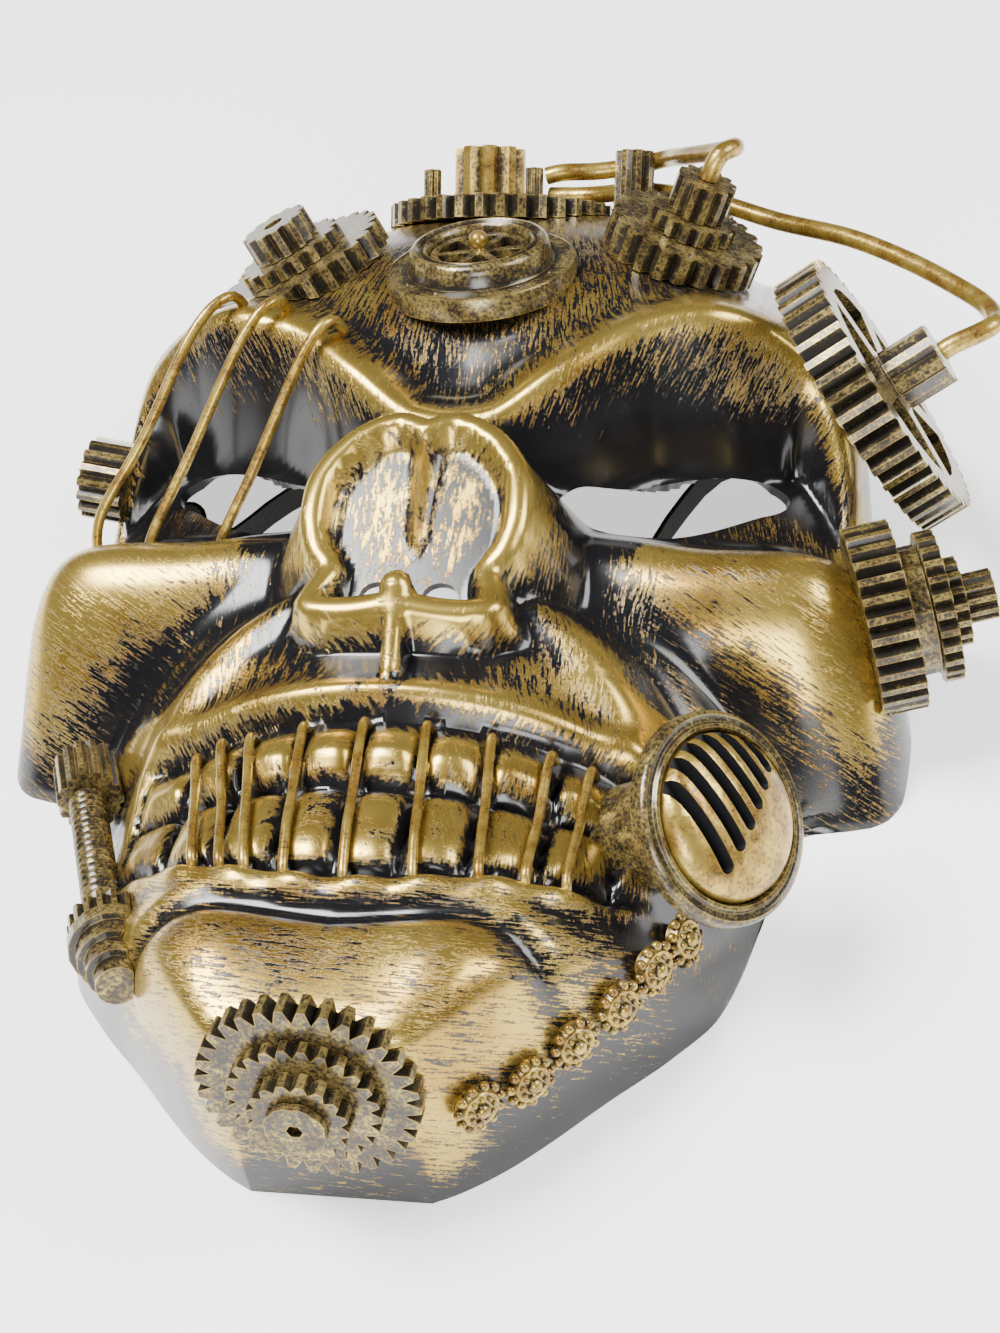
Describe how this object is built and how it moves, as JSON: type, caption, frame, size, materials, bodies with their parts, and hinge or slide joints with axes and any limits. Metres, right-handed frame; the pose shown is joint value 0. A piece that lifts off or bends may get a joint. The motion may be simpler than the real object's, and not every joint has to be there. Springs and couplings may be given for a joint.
{
  "type": "skull mask",
  "caption": "Full-face costume mask in the form of a skull with gears, wires, a breathing valve, hoses and an elastic strap, lying face up on its rim.",
  "frame": {"origin": "on the table plane of the rim, under the middle of the box around the mask without its strap", "axes": "+Z out of the face, +Y from the chin to the forehead, +X towards the side with the breathing valve and the temple gear"},
  "size_m": [0.1982, 0.272, 0.0749],
  "materials": {
    "face_black_gold": "glossy black moulding with dry-brushed gold on its crests",
    "brushed_gold": "glossy gold paint rubbed over black",
    "gear_gold": "dark greenish gold rubbed over black",
    "elastic_black": "woven flat elastic"
  },
  "bodies": {
    "root": {"chin_cap": "gear_gold", "chin_gear_ring": "gear_gold", "chin_gear_second": "gear_gold", "chin_pinion": "gear_gold", "crown_gear": "gear_gold", "crown_hub": "brushed_gold", "crown_post_left": "gear_gold", "crown_post_middle": "gear_gold", "crown_post_right": "gear_gold", "ear_gear_large": "gear_gold", "ear_gear_ring": "gear_gold", "ear_gear_small": "gear_gold", "ear_housing": "gear_gold", "ear_pinion": "gear_gold", "elastic_strap": "elastic_black", "eye_wire_1": "brushed_gold", "eye_wire_2": "brushed_gold", "eye_wire_3": "brushed_gold", "forehead_porthole": "brushed_gold", "hose_side": "brushed_gold", "hose_top": "brushed_gold", "jaw_rosette_1": "brushed_gold", "jaw_rosette_2": "brushed_gold", "jaw_rosette_3": "brushed_gold", "jaw_rosette_4": "brushed_gold", "jaw_rosette_5": "brushed_gold", "jaw_rosette_6": "brushed_gold", "left_forehead_gear": "gear_gold", "left_forehead_gear_small": "gear_gold", "left_forehead_pinion": "gear_gold", "left_temple_gear": "gear_gold", "mask_shell": "face_black_gold", "mouth_wire_1": "brushed_gold", "mouth_wire_2": "brushed_gold", "mouth_wire_3": "brushed_gold", "mouth_wire_4": "brushed_gold", "mouth_wire_5": "brushed_gold", "mouth_wire_6": "brushed_gold", "mouth_wire_7": "brushed_gold", "mouth_wire_8": "brushed_gold", "mouth_wire_9": "brushed_gold", "porthole_knob": "brushed_gold", "porthole_wheel": "brushed_gold", "right_forehead_gear": "gear_gold", "right_forehead_gear_small": "gear_gold", "right_forehead_pinion": "gear_gold", "rod_collar": "gear_gold", "rod_cone": "brushed_gold", "rod_nut": "brushed_gold", "temple_gear": "gear_gold", "temple_hub": "gear_gold", "threaded_rod": "gear_gold", "valve_cap": "brushed_gold", "valve_flange": "brushed_gold"}
  },
  "joints": []
}
